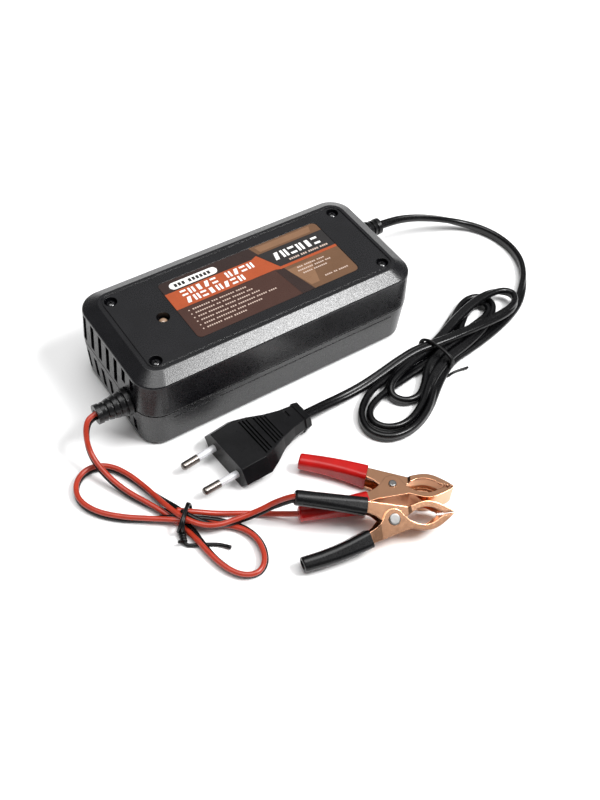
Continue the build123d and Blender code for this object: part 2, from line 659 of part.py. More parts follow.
def build():
    parts = {}
    parts["upper_shell"] = upper_shell()
    parts["lower_shell"] = lower_shell()
    parts["label_sticker"] = label_sticker()
    parts["housing_screws"] = housing_screws()
    parts["status_led"] = status_led()
    parts["led_standoff"] = led_standoff()
    parts["dc_gland"] = dc_gland()
    parts["ac_gland"] = ac_gland()
    parts["circuit_board"] = circuit_board()
    parts["transformer_core"] = transformer()
    parts["transformer_coil"] = transformer_coil()
    parts["mains_capacitor"] = can(26, 14, 8.0, 24)
    parts["output_capacitors"] = output_capacitors()
    parts["heat_sink_mains"] = heat_sink(23, -26.5, 34, 25, 7)
    parts["heat_sink_output"] = heat_sink(-21, 26.5, 34, 25, 7)
    parts["power_switches"] = power_switches()
    parts["common_mode_choke"] = common_mode_choke()
    parts["suppression_capacitor"] = suppression_capacitor()
    parts["mains_fuse"] = fuse()
    parts["control_chips"] = control_chips()
    parts["mains_terminal"] = terminal_block(58, 17)
    parts["output_terminal"] = terminal_block(-58, -16)
    parts["ac_cord"] = cord("ac cord", AC_ROUTE, AC_D)
    parts["ac_hank"] = ac_hank() - ac_tie()
    parts["ac_cord_to_plug"] = cord("ac cord to plug", PLUG_ROUTE, AC_D)
    parts["ac_tie"] = ac_tie()
    parts["plug_body"] = plug_body()
    parts["plug_pins"] = plug_pins()
    parts["pin_sleeves"] = pin_sleeves()
    parts["dc_lead"] = cord("dc lead", DC_ROUTE, DC_D)
    parts["dc_hank"] = dc_hank() - dc_tie()
    parts["dc_tie"] = dc_tie()
    parts["red_tail"] = cord("red tail", RED_ROUTE, RED_D)
    parts["black_tail"] = cord("black tail", BLACK_ROUTE, BLACK_D)
    add_clip(parts, "red_clip", RED_CLIP, False, False)
    add_clip(parts, "black_clip", BLACK_CLIP, True, True)
    return parts


os.makedirs("parts", exist_ok=True)
for node, shape in build().items():
    export_step(shape, f"parts/{node}.step")
    print(node, "valid", shape.is_valid, "solids", len(shape.solids()), "volume %.0f" % shape.volume)
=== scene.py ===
import math

import bpy
from mathutils import Matrix, Vector


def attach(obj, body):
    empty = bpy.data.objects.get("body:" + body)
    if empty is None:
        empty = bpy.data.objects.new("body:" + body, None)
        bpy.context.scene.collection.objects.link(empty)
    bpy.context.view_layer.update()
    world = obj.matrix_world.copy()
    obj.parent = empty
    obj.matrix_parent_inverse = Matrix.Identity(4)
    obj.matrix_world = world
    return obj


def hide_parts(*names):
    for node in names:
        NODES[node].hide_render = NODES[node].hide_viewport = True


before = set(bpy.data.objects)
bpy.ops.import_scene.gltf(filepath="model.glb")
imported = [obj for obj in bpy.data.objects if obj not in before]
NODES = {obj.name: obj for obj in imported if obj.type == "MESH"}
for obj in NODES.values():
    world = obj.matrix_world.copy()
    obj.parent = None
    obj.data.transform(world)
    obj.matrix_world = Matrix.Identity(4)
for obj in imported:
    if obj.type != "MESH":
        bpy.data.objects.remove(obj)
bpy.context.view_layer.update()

# Car battery charger with its coiled mains cord, twin output lead and two spring clips.
# Shapes are written in millimetres, in the frame of the CAD, and scaled where a mesh is made.
MM = 0.001
HOUSING = "charger"


# --- camera, floor and light ---------------------------------------------------

AZIMUTH, ELEVATION, ROLL = -38.383, 50.159, 5.525
DISTANCE = 521.93
TARGET = Vector((2.27, -45.79, 0.0))
LENS = 46.08
NEAR_CLIP = 0.01
FLOOR_EDGE = 30.0


def make_camera():
    azimuth, elevation, roll = (math.radians(v) for v in (AZIMUTH, ELEVATION, ROLL))
    flat = math.cos(elevation)
    back = Vector((math.sin(azimuth) * flat, -math.cos(azimuth) * flat, math.sin(elevation)))
    right = Vector((0, 0, 1)).cross(back).normalized()
    up = back.cross(right)
    x_axis = math.cos(roll) * right + math.sin(roll) * up
    y_axis = math.cos(roll) * up - math.sin(roll) * right
    camera = bpy.data.objects.new("camera", bpy.data.cameras.new("camera"))
    camera.data.lens = LENS
    camera.data.clip_start = NEAR_CLIP
    turn = Matrix((x_axis, y_axis, back)).transposed().to_4x4()
    camera.matrix_world = Matrix.Translation((TARGET + DISTANCE * back) * MM) @ turn
    bpy.context.scene.collection.objects.link(camera)
    bpy.context.scene.camera = camera


def make_floor():
    mesh = bpy.data.meshes.new("floor")
    corners = [(x * FLOOR_EDGE, y * FLOOR_EDGE, 0) for x, y in ((-1, -1), (1, -1), (1, 1), (-1, 1))]
    mesh.from_pydata(corners, [], [(0, 1, 2, 3)])
    floor = bpy.data.objects.new("floor", mesh)
    mat = bpy.data.materials.new("floor")
    mat.use_nodes = True
    shader = mat.node_tree.nodes["Principled BSDF"]
    shader.inputs["Base Color"].default_value = (0.93, 0.93, 0.93, 1)
    shader.inputs["Roughness"].default_value = 0.9
    shader.inputs["Specular IOR Level"].default_value = 0.1
    mesh.materials.append(mat)
    bpy.context.scene.collection.objects.link(floor)


def softbox(name, direction, distance, size, power):
    """Area light that faces the object from that direction, in metres and watts."""
    lamp = bpy.data.lights.new(name, "AREA")
    lamp.shape = "RECTANGLE"
    lamp.size, lamp.size_y = size
    lamp.energy = power
    light = bpy.data.objects.new(name, lamp)
    place = Vector(direction).normalized()
    light.location = place * distance
    light.rotation_mode = "QUATERNION"
    light.rotation_quaternion = place.to_track_quat("Z", "Y")
    bpy.context.scene.collection.objects.link(light)


def soft_sun(name, strength, spread):
    """Light from straight above that keeps the floor white; spread is its width in degrees."""
    lamp = bpy.data.lights.new(name, "SUN")
    lamp.energy = strength
    lamp.angle = math.radians(spread)
    light = bpy.data.objects.new(name, lamp)
    light.location = (0, 0, 2)
    bpy.context.scene.collection.objects.link(light)


def make_light():
    scene = bpy.context.scene
    scene.view_settings.view_transform = "Standard"
    world = bpy.data.worlds.new("studio")
    world.use_nodes = True
    sky = world.node_tree.nodes["Background"]
    sky.inputs["Color"].default_value = (1, 1, 1, 1)
    sky.inputs["Strength"].default_value = 0.20
    scene.world = world
    softbox("key", (0.385, -0.42, 0.81), 1.3, (0.48, 0.30), 16)
    softbox("overhead", (0.02, -0.52, 0.86), 1.5, (0.60, 0.50), 0.15)
    soft_sun("ceiling", 2.1, 44)
    softbox("back", (0.40, 0.50, 0.77), 1.8, (1.3, 1.3), 1.5)
    softbox("left", (-0.95, -0.25, 0.35), 1.5, (0.4, 0.9), 0.5)


# --- materials -------------------------------------------------------------------

def shader_of(name):
    """New node material: the material, a function that adds a node, its links, its shader."""
    mat = bpy.data.materials.new(name)
    mat.use_nodes = True
    tree = mat.node_tree
    shader = tree.nodes["Principled BSDF"]

    def add(kind, **values):
        node = tree.nodes.new(kind)
        for key, value in values.items():
            if hasattr(node, key):
                setattr(node, key, value)
            else:
                node.inputs[key.replace("_", " ")].default_value = value
        return node

    return mat, add, tree.links, shader


def noise_node(add, links, scale, detail=3.0, roughness=0.55):
    """Noise in object space; scale is in cells per metre."""
    place = add("ShaderNodeTexCoord")
    texture = add("ShaderNodeTexNoise", Scale=scale, Detail=detail, Roughness=roughness)
    links.new(place.outputs["Object"], texture.inputs["Vector"])
    return texture


def ramp_node(add, links, source, low, high, start=0.3, end=0.7):
    """Colour ramp from low to high over part of the source's range."""
    ramp = add("ShaderNodeValToRGB")
    ramp.color_ramp.elements[0].position = start
    ramp.color_ramp.elements[1].position = end
    ramp.color_ramp.elements[0].color = (*low, 1)
    ramp.color_ramp.elements[1].color = (*high, 1)
    links.new(source, ramp.inputs["Fac"])
    return ramp.outputs["Color"]


def range_node(add, links, source, low, high, start=0.3, end=0.7):
    """Number from low to high over part of the source's range."""
    spread = add("ShaderNodeMapRange")
    spread.inputs["From Min"].default_value = start
    spread.inputs["From Max"].default_value = end
    spread.inputs["To Min"].default_value = low
    spread.inputs["To Max"].default_value = high
    links.new(source, spread.inputs["Value"])
    return spread.outputs["Result"]


def bump_node(add, links, shader, height, distance, strength=1.0, edge=0.0):
    """Bump under the shader, over edges rounded by that radius; distances are in metres."""
    bump = add("ShaderNodeBump")
    bump.inputs["Distance"].default_value = distance
    bump.inputs["Strength"].default_value = strength
    links.new(height, bump.inputs["Height"])
    if edge:
        bevel = add("ShaderNodeBevel")
        bevel.samples = 8
        bevel.inputs["Radius"].default_value = edge
        links.new(bevel.outputs["Normal"], bump.inputs["Normal"])
    links.new(bump.outputs["Normal"], shader.inputs["Normal"])


def spark_plastic(name, color, roughness, depth, grain=2600, shine=0.5, edge=0.0004):
    """Moulded plastic with the fine eroded texture of a spark-cut tool."""
    mat, add, links, shader = shader_of(name)
    fine = noise_node(add, links, grain, 4.0, 0.6)
    broad = noise_node(add, links, 90, 2.0)
    light = tuple(min(1, c * 1.35 + 0.002) for c in color)
    tint = ramp_node(add, links, broad.outputs["Fac"], color, light)
    gloss = range_node(add, links, fine.outputs["Fac"], roughness - 0.07, roughness + 0.1)
    links.new(tint, shader.inputs["Base Color"])
    links.new(gloss, shader.inputs["Roughness"])
    shader.inputs["Specular IOR Level"].default_value = shine
    bump_node(add, links, shader, fine.outputs["Fac"], depth, 0.9, edge)
    return mat


def smooth_plastic(name, color, roughness, coat=0.0, wave=40, depth=0.00002, mottle=0.12, shine=0.5):
    """Dipped or extruded plastic: slight mottling, faint waviness and a soft gloss."""
    mat, add, links, shader = shader_of(name)
    broad = noise_node(add, links, wave * 5, 3.0)
    fine = noise_node(add, links, 1900, 3.0)
    dark = tuple(c * (1 - mottle) for c in color)
    light = tuple(min(1, c * (1 + mottle) + 0.001) for c in color)
    tint = ramp_node(add, links, broad.outputs["Fac"], dark, light)
    gloss = range_node(add, links, fine.outputs["Fac"], roughness - 0.04, roughness + 0.07)
    links.new(tint, shader.inputs["Base Color"])
    links.new(gloss, shader.inputs["Roughness"])
    shader.inputs["Specular IOR Level"].default_value = shine
    shader.inputs["Coat Weight"].default_value = coat
    shader.inputs["Coat Roughness"].default_value = 0.12
    bump_node(add, links, shader, broad.outputs["Fac"], depth, 0.7)
    return mat


def metal(name, color, roughness, streak=0.5, tarnish=0.25, depth=0.000005):
    """Plated or bare metal with fine rolling marks and a little tarnish."""
    mat, add, links, shader = shader_of(name)
    place = add("ShaderNodeTexCoord")
    stretch = add("ShaderNodeMapping")
    stretch.inputs["Scale"].default_value = (1.0, 1.0 - 0.7 * streak, 1.0)
    fine = add("ShaderNodeTexNoise", Scale=900, Detail=4.0)
    links.new(place.outputs["Object"], stretch.inputs["Vector"])
    links.new(stretch.outputs["Vector"], fine.inputs["Vector"])
    broad = noise_node(add, links, 140, 3.0)
    dull = tuple(c * (1 - tarnish) for c in color)
    tint = ramp_node(add, links, broad.outputs["Fac"], dull, color, 0.25, 0.6)
    gloss = range_node(add, links, fine.outputs["Fac"], roughness - 0.015, roughness + 0.025)
    links.new(tint, shader.inputs["Base Color"])
    links.new(gloss, shader.inputs["Roughness"])
    shader.inputs["Metallic"].default_value = 1.0
    bump_node(add, links, shader, fine.outputs["Fac"], depth, 0.6, 0.00035)
    return mat


def clear_resin(name, color, roughness=0.06):
    """Tinted clear epoxy or nylon."""
    mat, add, links, shader = shader_of(name)
    broad = noise_node(add, links, 500, 2.0)
    dark = tuple(c * 0.8 for c in color)
    links.new(ramp_node(add, links, broad.outputs["Fac"], dark, color), shader.inputs["Base Color"])
    shader.inputs["Roughness"].default_value = roughness
    shader.inputs["Transmission Weight"].default_value = 0.35
    shader.inputs["Coat Weight"].default_value = 1.0
    return mat


def laminate(name):
    """Circuit board: solder mask with faint copper traces under it."""
    mat, add, links, shader = shader_of(name)
    place = add("ShaderNodeTexCoord")
    bricks = add("ShaderNodeTexBrick")
    bricks.inputs["Scale"].default_value = 260
    bricks.inputs["Color1"].default_value = (0.02, 0.12, 0.045, 1)
    bricks.inputs["Color2"].default_value = (0.03, 0.17, 0.06, 1)
    bricks.inputs["Mortar"].default_value = (0.06, 0.26, 0.08, 1)
    links.new(place.outputs["Object"], bricks.inputs["Vector"])
    links.new(bricks.outputs["Color"], shader.inputs["Base Color"])
    shader.inputs["Roughness"].default_value = 0.35
    bump_node(add, links, shader, bricks.outputs["Fac"], 0.00003, 0.5)
    return mat


def dress(node, mat):
    """Gives a carried CAD node its material."""
    mesh = NODES[node].data
    mesh.materials.clear()
    mesh.materials.append(mat)


# --- mesh helpers ------------------------------------------------------------------

def add_mesh(name, points, faces, mats, smooth=True, face_mats=None):
    """Object from points in millimetres."""
    mesh = bpy.data.meshes.new(name)
    mesh.from_pydata([tuple(v * MM for v in p) for p in points], [], faces)
    for mat in mats:
        mesh.materials.append(mat)
    for index, polygon in enumerate(mesh.polygons):
        polygon.use_smooth = smooth
        if face_mats:
            polygon.material_index = face_mats[index]
    mesh.validate()
    obj = bpy.data.objects.new(name, mesh)
    bpy.context.scene.collection.objects.link(obj)
    return obj


def tube_faces(rings, sides, closed):
    """Quads between rings of points, with a cap on each end unless the tube is closed on itself."""
    faces = []
    for r in range(rings if closed else rings - 1):
        here = r * sides
        there = ((r + 1) % rings) * sides
        for k in range(sides):
            n = (k + 1) % sides
            faces.append((here + k, here + n, there + n, there + k))
    if not closed:
        faces.append(tuple(reversed(range(sides))))
        last = (rings - 1) * sides
        faces.append(tuple(last + k for k in range(sides)))
    return faces


def frames_along(line, tilts, closed=False):
    """For each point: the wide and the thin direction of a flat section.

    A tilt of 0 lays the wide direction level, to the right of travel, and 90 stands it upright.
    """
    out = []
    count = len(line)
    for k in range(count):
        before = line[k - 1] if k or closed else line[0]
        after = line[(k + 1) % count] if k < count - 1 or closed else line[-1]
        tangent = (after - before).normalized()
        up = (Vector((0, 0, 1)) - tangent * tangent.z).normalized()
        side = tangent.cross(up)
        tilt = math.radians(tilts[k])
        wide = side * math.cos(tilt) + up * math.sin(tilt)
        out.append((wide, tangent.cross(wide)))
    return out


def sweep(line, frames, section, closed=False, shift=0.0):
    """Points and faces of a section carried along a line, moved by shift in its wide direction."""
    points = []
    for place, (wide, thin) in zip(line, frames):
        centre = place + wide * shift
        for a, b in section:
            points.append(centre + wide * a + thin * b)
    return points, tube_faces(len(line), len(section), closed)


def circle(radius, sides=16):
    turns = [2 * math.pi * k / sides for k in range(sides)]
    return [(radius * math.cos(t), radius * math.sin(t)) for t in turns]


def flat_oval(width, height, groove, sides=16):
    """Flat cord's section: two half circles joined by flats, with a shallow groove in each flat."""
    radius = height / 2
    half = width / 2 - radius
    points = []
    for sign in (1, -1):
        for k in range(sides + 1):
            t = math.pi * (k / sides - 0.5)
            points.append((sign * (half + radius * math.cos(t)), sign * radius * math.sin(t)))
        for part in (0.6, 0.25, 0.0, -0.25, -0.6):
            dip = groove * math.exp(-((part / 0.3) ** 2))
            points.append((sign * half * part, sign * (radius - dip)))
    return points


def spline_line(name, controls, resolution=10):
    """Points, in millimetres, of the NURBS spline with those control points."""
    curve = bpy.data.curves.new(name, "CURVE")
    curve.dimensions = "3D"
    curve.resolution_u = resolution
    spline = curve.splines.new("NURBS")
    spline.points.add(len(controls) - 1)
    for point, control in zip(spline.points, controls):
        point.co = (*(v * MM for v in control[:3]), 1)
    spline.order_u = 3
    spline.use_endpoint_u = True
    holder = bpy.data.objects.new(name, curve)
    bpy.context.scene.collection.objects.link(holder)
    bpy.context.view_layer.update()
    mesh = bpy.data.meshes.new_from_object(holder)
    line = [v.co / MM for v in mesh.vertices]
    bpy.data.objects.remove(holder)
    bpy.data.curves.remove(curve)
    bpy.data.meshes.remove(mesh)
    return line


def tilts_along(controls, count):
    """The fourth value of each control, spread over the spline's points."""
    last = len(controls) - 1
    out = []
    for k in range(count):
        index = min(last, max(0, k / (count - 1) * (last - 1) + 0.5))
        low = min(last - 1, int(index))
        part = index - low
        out.append(controls[low][3] * (1 - part) + controls[low + 1][3] * part)
    return out


# --- cords ---------------------------------------------------------------------------

# Control points: x, y, z in millimetres and the tilt of the flat section in degrees. First, out of
# the right gland and down to the surface.
MAINS_ROUTE = [
    (97.5, 21.0, 24.0, 5), (108.0, 21.2, 23.2, 5), (120.5, 22.0, 19.6, 5), (134.0, 22.4, 14.0, 10),
    (147.5, 20.6, 8.6, 25), (158.8, 15.4, 4.9, 55), (167.2, 7.2, 3.2, 80), (172.0, -3.8, 2.8, 90),
    (173.0, -16.0, 2.8, 90), (169.9, -27.6, 2.8, 90), (163.0, -37.8, 2.8, 75), (153.8, -46.2, 2.4, 35),
]
# The hank: three turns, each a left loop and a right loop, through the tie at x = 83.
HANK_ROUTE = [
    (145.0, -52.5, 1.9, 5), (133.0, -57.5, 1.8, 0), (118.0, -61.5, 1.9, 0), (101.0, -64.5, 2.1, 0),
    (84.0, -66.3, 2.4, 0),
    (68.0, -75.5, 2.2, 20), (53.0, -87.5, 2.7, 75), (38.0, -93.0, 2.8, 90), (25.0, -91.5, 2.8, 90),
    (17.8, -82.5, 2.8, 90), (21.0, -71.0, 2.8, 90), (33.0, -62.2, 2.8, 85), (48.0, -58.2, 2.4, 30),
    (65.0, -55.8, 2.2, 5), (83.0, -54.3, 2.4, 0),
    (98.0, -47.0, 2.3, 15), (110.0, -39.8, 2.7, 70), (121.0, -35.5, 2.8, 90), (130.0, -38.0, 2.8, 90),
    (132.4, -46.5, 2.8, 90), (124.0, -54.0, 3.0, 70), (109.0, -60.0, 4.8, 15), (96.0, -63.6, 5.5, 0),
    (83.0, -65.5, 5.6, 0),
    (67.0, -72.0, 4.6, 15), (53.0, -82.6, 2.9, 80), (39.5, -88.4, 2.8, 90), (28.5, -86.6, 2.8, 90),
    (23.0, -79.2, 2.8, 90), (26.5, -71.2, 2.8, 90), (38.0, -66.6, 2.8, 75), (52.0, -63.6, 2.2, 20),
    (67.0, -61.6, 2.2, 0), (83.0, -60.3, 2.4, 0),
    (98.0, -54.5, 2.2, 10), (108.0, -47.8, 2.7, 70), (116.0, -42.8, 2.8, 90), (122.6, -41.0, 2.8, 90),
    (127.4, -43.4, 2.8, 90), (127.2, -48.6, 2.8, 90), (121.0, -52.2, 3.0, 75), (111.0, -54.8, 4.0, 30),
    (98.0, -57.6, 5.4, 5), (83.0, -59.8, 5.6, 0),
    (70.0, -65.4, 5.0, 10), (62.0, -73.0, 3.4, 60), (54.0, -78.0, 2.9, 90), (46.0, -76.8, 2.8, 90),
    (41.6, -70.4, 3.4, 90), (44.4, -64.4, 5.4, 50), (55.0, -60.2, 6.4, 10), (69.0, -57.0, 5.8, 0),
    (83.0, -54.5, 5.6, 0),
    (98.0, -48.8, 6.0, 0), (112.0, -44.6, 7.4, 0), (125.0, -42.0, 7.8, 5), (135.0, -41.6, 7.2, 35),
    (141.8, -43.6, 6.4, 70), (144.6, -48.0, 6.2, 85), (141.8, -53.2, 6.3, 80), (134.8, -56.6, 6.7, 55),
    (124.0, -58.0, 7.4, 20), (109.0, -58.2, 8.4, 0), (95.0, -57.8, 8.8, 0), (83.0, -56.8, 8.8, 0),
]
PLUG_ROUTE = [
    (70.0, -54.6, 8.2, 0), (58.0, -54.8, 6.2, 0), (46.0, -55.8, 4.2, 5), (34.0, -56.8, 2.8, 15),
    (21.0, -57.2, 2.6, 20), (8.0, -57.8, 4.2, 10), (-7.4, -59.4, 6.7, 0),
]
MAINS_WIDTH, MAINS_THICK, MAINS_GROOVE = 5.4, 3.5, 0.12

# The twin lead: out of its gland, the right loop, the left loop, then the tail to the black clip.
TWIN_ROUTE = [
    (-95.5, -19.5, 24.0, 90), (-99.7, -19.8, 23.6, 90), (-102.3, -21.0, 22.0, 90), (-104.3, -23.2, 18.8, 90),
    (-105.6, -26.4, 14.4, 90), (-106.0, -31.0, 10.8, 90), (-105.2, -37.0, 8.0, 90), (-103.0, -44.6, 5.2, 90),
    (-99.6, -52.8, 3.2, 90), (-95.2, -61.2, 2.6, 85), (-90.6, -68.8, 2.3, 50), (-86.8, -75.6, 1.6, 10),
    (-84.8, -83.0, 1.5, 5), (-84.2, -92.0, 2.2, 45), (-83.6, -101.0, 2.4, 60), (-81.4, -110.5, 2.4, 60),
    (-77.0, -117.8, 2.4, 65), (-70.8, -120.8, 2.5, 80), (-65.0, -117.6, 2.6, 105), (-61.8, -111.0, 2.5, 120),
    (-61.2, -103.4, 2.4, 125), (-64.2, -95.6, 2.1, 140), (-70.0, -89.2, 1.6, 165), (-77.2, -84.0, 2.8, 172),
    (-84.6, -79.4, 4.2, 165), (-91.6, -74.2, 3.4, 140), (-99.6, -69.2, 2.6, 105), (-108.6, -63.0, 2.6, 90),
    (-116.6, -54.8, 2.6, 90), (-120.6, -45.5, 2.6, 90), (-118.8, -37.2, 2.6, 90), (-112.6, -31.6, 2.6, 90),
    (-105.0, -31.2, 2.6, 90), (-98.4, -36.0, 2.6, 90), (-94.0, -44.6, 2.6, 90), (-91.0, -54.6, 2.7, 80),
    (-88.8, -64.0, 4.2, 50), (-87.0, -72.4, 6.4, 15), (-84.4, -80.6, 7.2, 5), (-80.0, -87.2, 6.6, 25),
    (-74.4, -91.2, 5.7, 60), (-67.6, -93.0, 5.3, 85), (-59.4, -95.0, 6.6, 90), (-54.0, -97.0, 9.2, 90),
    (-48.8, -98.8, 12.4, 90),
]
# The single red core, from under the tie to the red clip.
RED_ROUTE = [
    (-86.2, -75.0, 6.8, 0), (-82.6, -77.6, 6.4, 0), (-77.2, -80.4, 5.0, 0), (-71.0, -83.4, 2.8, 0),
    (-64.4, -86.6, 1.6, 0), (-57.8, -90.4, 1.4, 0), (-51.6, -94.8, 1.7, 0),
]
# One core of the twin lead, how far its two cores merge, and the single red core.
CORE_R = 1.28
CORE_MERGE = 0.06
SINGLE_R = 1.35


# --- clip frames ------------------------------------------------------------------------

def turned(axis, angle):
    return Matrix.Rotation(math.radians(angle), 4, axis)


RED_CLIP = Matrix.Translation((4.4, -118.2, 6.65)) @ turned("Z", -34.5)
BLACK_CLIP = Matrix.Translation((-7.6, -133.0, 10.8)) @ turned("Z", -23.8)
BLACK_CLIP = BLACK_CLIP @ turned("X", 31.0) @ turned("Y", 4.0)
GRIP_START = (-11.5, 7.35)
GRIP_SLOPE = -13.6
GRIP_LEN = 32.8
# How far past a grip's back end a wire's last points lie; negative is inside the grip.
TAIL_STEPS = (0.0, -3.0, -7.0)


def grip_end(clip, side, beyond):
    """Point on a grip's axis, beyond its back end. side is 1 for the upper grip."""
    run = GRIP_LEN + beyond
    slope = math.radians(GRIP_SLOPE)
    x = GRIP_START[0] - run * math.cos(slope)
    y = GRIP_START[1] - run * math.sin(slope)
    return clip @ Vector((x, side * y, 0))


def with_tail(route, clip, side):
    """The route, ended inside the grip along the grip's own axis."""
    return route + [(*grip_end(clip, side, beyond), 90) for beyond in TAIL_STEPS]


def make_mains_cord(mats):
    """Flat cord from the right gland, round the hank's three turns and on to the plug."""
    controls = MAINS_ROUTE + HANK_ROUTE + PLUG_ROUTE
    line = spline_line("mains_line", controls)
    frames = frames_along(line, tilts_along(controls, len(line)))
    points, faces = sweep(line, frames, flat_oval(MAINS_WIDTH, MAINS_THICK, MAINS_GROOVE))
    cord = add_mesh("mains_cord", points, faces, [mats["cable"]])
    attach(cord, HOUSING)
    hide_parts("ac_cord", "ac_hank", "ac_cord_to_plug")


def make_twin_lead(mats):
    """Red and black cores side by side, from the left gland to the black clip."""
    controls = with_tail(TWIN_ROUTE, BLACK_CLIP, 1)
    line = spline_line("twin_line", controls)
    frames = frames_along(line, tilts_along(controls, len(line)))
    shift = CORE_R - CORE_MERGE
    red_points, red_faces = sweep(line, frames, circle(CORE_R), shift=shift)
    black_points, black_faces = sweep(line, frames, circle(CORE_R), shift=-shift)
    offset = len(red_points)
    faces = red_faces + [tuple(v + offset for v in face) for face in black_faces]
    face_mats = [0] * len(red_faces) + [1] * len(black_faces)
    twin = add_mesh("twin_lead", red_points + black_points, faces,
                    [mats["red_wire"], mats["black_wire"]], face_mats=face_mats)
    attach(twin, HOUSING)
    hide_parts("dc_lead", "dc_hank", "black_tail")


def make_red_tail(mats):
    """Single red core, from under the output lead's tie to the red clip."""
    controls = with_tail(RED_ROUTE, RED_CLIP, -1)
    line = spline_line("red_line", controls)
    points, faces = sweep(line, frames_along(line, [0] * len(line)), circle(SINGLE_R))
    tail = add_mesh("red_tail_wire", points, faces, [mats["red_wire"]])
    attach(tail, HOUSING)
    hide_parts("red_tail")


# --- wire ties -----------------------------------------------------------------------------

TIE_R = 0.8
LOOP_POINTS = 64
LOOP_SQUARENESS = 0.8
TWIST_POINTS = 16


def tie_loop(centre, heading, half_width, top, lean):
    """Closed loop of wire that stands across a bundle and rests on the floor."""
    across = turned("Z", heading) @ Vector((0, 1, 0))
    along = turned("Z", heading) @ Vector((1, 0, 0))
    middle, half_height = (top + TIE_R) / 2, (top - TIE_R) / 2
    line = []
    for k in range(LOOP_POINTS):
        t = 2 * math.pi * k / LOOP_POINTS
        a = half_width * math.copysign(abs(math.cos(t)) ** LOOP_SQUARENESS, math.cos(t))
        h = half_height * math.copysign(abs(math.sin(t)) ** LOOP_SQUARENESS, math.sin(t))
        place = Vector((*centre, middle + h))
        line.append(place + across * a + along * (lean * h / half_height))
    return line


def wire(points, faces, line, radius, closed=False):
    """Adds a round wire along the line to the lists of points and faces."""
    more, sides = sweep(line, frames_along(line, [0] * len(line), closed), circle(radius, 12), closed)
    offset = len(points)
    points += more
    faces += [tuple(v + offset for v in face) for face in sides]


def twisted_pair(start, end, radius, turns):
    """Two lines wound round each other."""
    axis = (end - start).normalized()
    side = axis.cross(Vector((0, 0, 1))).normalized()
    up = side.cross(axis)
    steps = TWIST_POINTS * turns
    pair = []
    for phase in (0, math.pi):
        line = []
        for k in range(steps + 1):
            t = 2 * math.pi * k / TWIST_POINTS + phase
            offset = side * radius * math.cos(t) + up * radius * math.sin(t)
            line.append(start.lerp(end, k / steps) + offset)
        pair.append(line)
    return pair


# Loops are (centre, heading, half width, top, lean), twists (start, end, winding radius, wire radius),
# and tails are routes with their wire radius.
MAINS_TIE = {
    "loops": [((78.2, -60.6), 12.5, 10.4, 11.6, 0.6), ((79.6, -60.6), 12.5, 10.2, 11.4, -0.5)],
    "twist": ((79.6, -69.6, 1.6), (76.0, -72.2, 1.6), 0.75, 0.7),
    "tails": {"mains_tie_tail": (0.7, [
        (77.0, -71.6, 1.4), (75.4, -72.8, 1.2), (77.6, -73.2, 0.9), (81.6, -72.6, 0.8), (86.0, -73.1, 0.9),
        (90.4, -74.4, 1.6)])},
}
OUTPUT_TIE = {
    "loops": [((-85.3, -79.2), -46, 6.9, 10.0, 0.9), ((-83.9, -80.4), -43, 6.8, 9.7, -0.6)],
    "twist": ((-88.6, -83.4, 1.9), (-90.2, -88.6, 1.6), 0.85, 0.8),
    "tails": {
        "output_tie_tail": (0.9, [
            (-90.0, -88.0, 1.4), (-90.4, -90.4, 1.2), (-87.2, -92.2, 1.0), (-82.6, -94.4, 0.95),
            (-78.0, -97.2, 0.95), (-75.6, -99.6, 1.1), (-73.8, -102.2, 1.7)]),
        "output_tie_end": (0.8, [(-90.0, -88.2, 1.8), (-91.6, -89.2, 2.6), (-92.8, -88.6, 4.0)]),
    },
}


def make_tie(name, plan, replaced, mats):
    """Wire tie: two loops round the bundle, their twisted ends and what is left of the wire."""
    points, faces = [], []
    for loop in plan["loops"]:
        wire(points, faces, tie_loop(*loop), TIE_R, True)
    start, end, winding, radius = plan["twist"]
    for line in twisted_pair(Vector(start), Vector(end), winding, 2):
        wire(points, faces, line, radius)
    for tail, (thickness, route) in plan["tails"].items():
        wire(points, faces, spline_line(tail, route), thickness)
    tie = add_mesh(name, points, faces, [mats["tie"]])
    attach(tie, HOUSING)
    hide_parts(replaced)


# --- label ------------------------------------------------------------------------------------

LABEL_CORNER = (-41.2, -20.2)
LABEL_SIZE = (94.0, 41.0)
LABEL_TOP = 46.4
LABEL_ROUND = 2.8
# Each layer of print stands this much above the one below and starts a little inside it.
INK = 0.03
INK_SINK = 0.005


def arc(x, y, radius, start, end):
    """Points of an arc, counter-clockwise, with angles in whole degrees from the label's long side."""
    angles = [math.radians(a) for a in range(start, end + 1, 15)]
    return [(x + radius * math.cos(a), y + radius * math.sin(a)) for a in angles]


def rounded(corner_x, corner_y):
    """Points of one rounded corner of the label, given which corner it is (-1 or 1 each way)."""
    length, width = LABEL_SIZE
    cx = LABEL_ROUND if corner_x < 0 else length - LABEL_ROUND
    cy = LABEL_ROUND if corner_y < 0 else width - LABEL_ROUND
    start = {(-1, -1): 180, (1, -1): 270, (1, 1): 0, (-1, 1): 90}[(corner_x, corner_y)]
    return arc(cx, cy, LABEL_ROUND, start, start + 90)


def printed(name, shapes, level, mat):
    """Thin closed plates on the label, outlines counter-clockwise from its front left corner."""
    points, faces = [], []
    low = LABEL_TOP + INK * (level - 1) - INK_SINK
    high = LABEL_TOP + INK * level
    for outline in shapes:
        first, count = len(points), len(outline)
        for z in (low, high):
            points += [(LABEL_CORNER[0] + x, LABEL_CORNER[1] + y, z) for x, y in outline]
        faces.append(tuple(first + k for k in reversed(range(count))))
        faces.append(tuple(first + count + k for k in range(count)))
        for k in range(count):
            n = (k + 1) % count
            faces.append((first + k, first + n, first + count + n, first + count + k))
    plate = add_mesh(name, points, faces, [mat], smooth=False)
    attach(plate, HOUSING)


